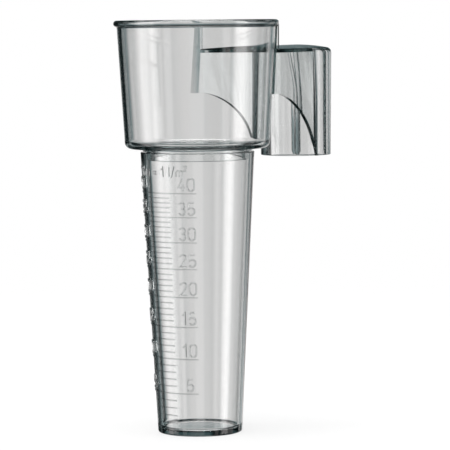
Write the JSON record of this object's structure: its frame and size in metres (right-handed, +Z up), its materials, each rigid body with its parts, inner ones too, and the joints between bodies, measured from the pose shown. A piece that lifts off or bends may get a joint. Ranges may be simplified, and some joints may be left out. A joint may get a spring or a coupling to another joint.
{
  "type": "manual rain gauge",
  "caption": "Clear plastic rain gauge: tapered measuring tube with a raised scale, round collector cup and a post sleeve beside it.",
  "frame": {"origin": "middle of the measuring tube's flat base, the face that it stands on", "axes": "+Z up along the tube, +X from the gauge's axis towards the post sleeve"},
  "size_m": [0.1307, 0.0808, 0.2017],
  "materials": {
    "clear_plastic": "clear, glossy, slightly grey-green moulded styrene plastic"
  },
  "bodies": {
    "tube": {"measuring_tube": "clear_plastic"},
    "collector": {"collector": "clear_plastic"}
  },
  "joints": [
    {"name": "collector_lift", "type": "slide", "parent": "tube", "child": "collector", "axis": [0, 0, 1], "range_m": [0, 0.04]}
  ]
}
